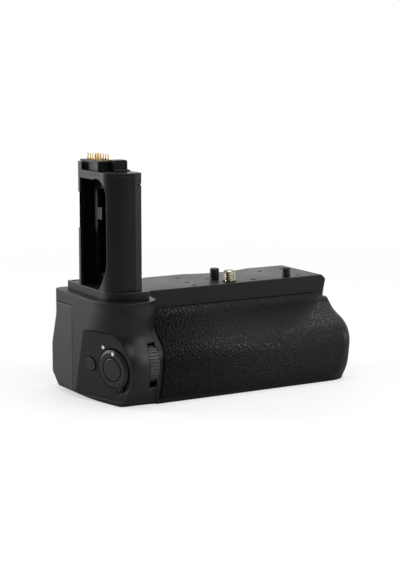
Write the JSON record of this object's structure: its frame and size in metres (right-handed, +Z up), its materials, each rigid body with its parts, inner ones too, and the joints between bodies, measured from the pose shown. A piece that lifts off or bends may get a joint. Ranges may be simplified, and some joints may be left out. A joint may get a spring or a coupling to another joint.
{
  "type": "camera battery grip",
  "caption": "Battery grip for a camera: a hand grip with a tower that fills the battery well, release button, dials, camera screw with its wheel, and a sliding battery tray.",
  "frame": {"origin": "mouth of the tripod socket in the base plane, straight below the camera screw", "axes": "+X along the grip towards the tray's end, +Y towards the camera's back, +Z up towards the camera"},
  "size_m": [0.1452, 0.0702, 0.1213],
  "materials": {
    "moulded_plastic": "fine moulded texture, black",
    "grip_rubber": "pebbled",
    "soft_rubber": "plain",
    "plain_plastic": "smooth, black",
    "steel": "stamped",
    "screw_steel": "turned",
    "black_steel": "blackened",
    "brass": "turned",
    "gold": "gold plated",
    "board": "solder mask",
    "white_dot": "filled paint"
  },
  "bodies": {
    "grip": {"front_shell": "moulded_plastic", "rear_shell": "moulded_plastic", "top_plate": "moulded_plastic", "base_plate": "moulded_plastic", "grip_rubber": "grip_rubber", "thumb_rubber": "grip_rubber", "frame": "steel", "tripod_bush": "brass", "wheel_axle": "steel", "front_dial_axle": "steel", "rear_dial_axle": "steel", "tower_shell": "moulded_plastic", "tower_liner": "plain_plastic", "tower_cap": "moulded_plastic", "tower_flange": "moulded_plastic", "tower_gasket": "soft_rubber", "connector_block": "moulded_plastic", "connector_plate": "plain_plastic", "contact_pins": "gold", "key_block": "moulded_plastic", "locating_pin_a": "black_steel", "locating_pin_b": "black_steel", "screw_ring": "black_steel", "deck_screws": "black_steel", "base_screws": "black_steel", "control_board": "board", "control_switches": "plain_plastic", "rear_boards": "board", "rear_switches": "plain_plastic", "main_board": "board", "main_chip": "plain_plastic", "bay_contact_block": "plain_plastic", "bay_contacts": "gold", "body_dot": "white_dot"},
    "tray": {"battery_tray": "plain_plastic", "tray_cap": "moulded_plastic", "tray_seal": "soft_rubber", "tray_pads": "gold", "tray_leaves": "gold"},
    "latch": {"tray_latch": "plain_plastic", "latch_cam": "steel"},
    "wheel": {"attachment_wheel": "plain_plastic", "wheel_gear": "brass"},
    "screw": {"camera_screw": "screw_steel", "screw_gear": "brass"},
    "release": {"release_button": "plain_plastic"},
    "lock": {"lock_ring": "plain_plastic", "ring_dot": "white_dot"},
    "function": {"function_button": "plain_plastic"},
    "front_control": {"front_dial": "plain_plastic"},
    "rear_control": {"rear_dial": "plain_plastic"},
    "rear_key_1": {"rear_button_1": "plain_plastic"},
    "rear_key_2": {"rear_button_2": "plain_plastic"}
  },
  "joints": [
    {"name": "tray_slide", "type": "slide", "parent": "grip", "child": "tray", "axis": [1, 0, 0], "range_m": [0, 0.105]},
    {"name": "latch_turn", "type": "hinge", "parent": "tray", "child": "latch", "pos_m": [0.0557, 0.0069, 0.01795], "axis": [1, 0, 0], "range_deg": [0, 90]},
    {"name": "wheel_turn", "type": "hinge", "parent": "grip", "child": "wheel", "pos_m": [0.01125, 0.01949, 0.0404], "axis": [0, 0, 1], "continuous": true},
    {"name": "screw_turn", "type": "hinge", "parent": "grip", "child": "screw", "pos_m": [0, 0, 0.045], "axis": [0, 0, 1], "continuous": true},
    {"name": "release_press", "type": "slide", "parent": "grip", "child": "release", "axis": [0.9485, 0.3045, 0.0872], "range_m": [0, 0.0012], "stiffness_N_per_m": 300},
    {"name": "lock_turn", "type": "hinge", "parent": "grip", "child": "lock", "pos_m": [-0.0801, -0.0244, 0.0188], "axis": [-0.9485, -0.3045, -0.0872], "range_deg": [0, 33]},
    {"name": "function_press", "type": "slide", "parent": "grip", "child": "function", "axis": [0.9485, 0.3045, 0.0872], "range_m": [0, 0.0008], "stiffness_N_per_m": 300},
    {"name": "front_dial_turn", "type": "hinge", "parent": "grip", "child": "front_control", "pos_m": [-0.063, -0.0258, 0.0202], "axis": [1, 0, 0], "continuous": true},
    {"name": "rear_dial_turn", "type": "hinge", "parent": "grip", "child": "rear_control", "pos_m": [-0.0705, 0.0208, 0.0414], "axis": [0, 0, 1], "continuous": true},
    {"name": "rear_key_1_press", "type": "slide", "parent": "grip", "child": "rear_key_1", "axis": [0, -1, 0], "range_m": [0, 0.0008], "stiffness_N_per_m": 300},
    {"name": "rear_key_2_press", "type": "slide", "parent": "grip", "child": "rear_key_2", "axis": [0, -1, 0], "range_m": [0, 0.0008], "stiffness_N_per_m": 300}
  ],
  "couplings": [
    {"joint": "screw_turn", "follows": "wheel_turn", "ratio": -0.95652}
  ]
}
